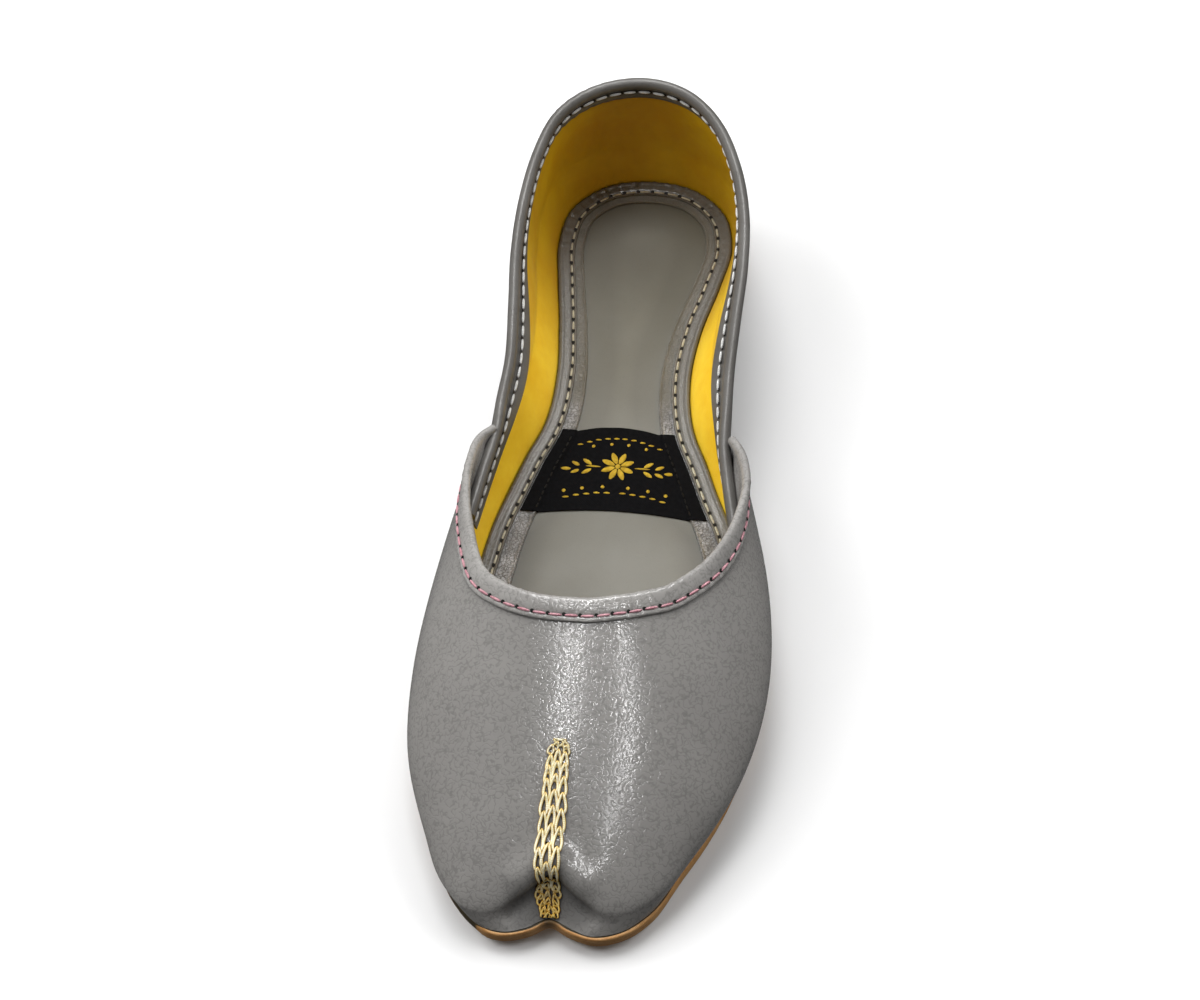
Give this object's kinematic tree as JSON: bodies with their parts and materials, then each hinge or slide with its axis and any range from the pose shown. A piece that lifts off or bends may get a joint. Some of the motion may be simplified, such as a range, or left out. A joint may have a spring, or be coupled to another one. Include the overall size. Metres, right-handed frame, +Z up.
{
  "type": "ballet flat",
  "caption": "Slip-on leather flat with a notched toe, chain-stitched vamp, rolled collar, stitched footbed and thin flat sole.",
  "frame": {"origin": "on the floor, under the middle of the shoe's footprint box", "axes": "+Z up, +Y from the toe to the heel, +X to the inner side of the foot (right shoe)"},
  "size_m": [0.09, 0.242, 0.0485],
  "materials": {
    "upper_leather": "soft grained grey leather with a low sheen, gold-coloured lining",
    "sole_leather": "tan sole leather with a cut edge",
    "footbed_leather": "smooth warm grey leather",
    "binding_leather": "folded grey leather, stitched",
    "label_cloth": "black woven band",
    "gold_thread": "pale gold metallic thread worked as chain"
  },
  "bodies": {
    "root": {"upper": "upper_leather", "outsole": "sole_leather", "footbed": "footbed_leather", "footbed_rim": "binding_leather", "label_band": "label_cloth", "collar_binding": "binding_leather", "throat_binding": "binding_leather", "toe_chain": "gold_thread"}
  },
  "joints": []
}
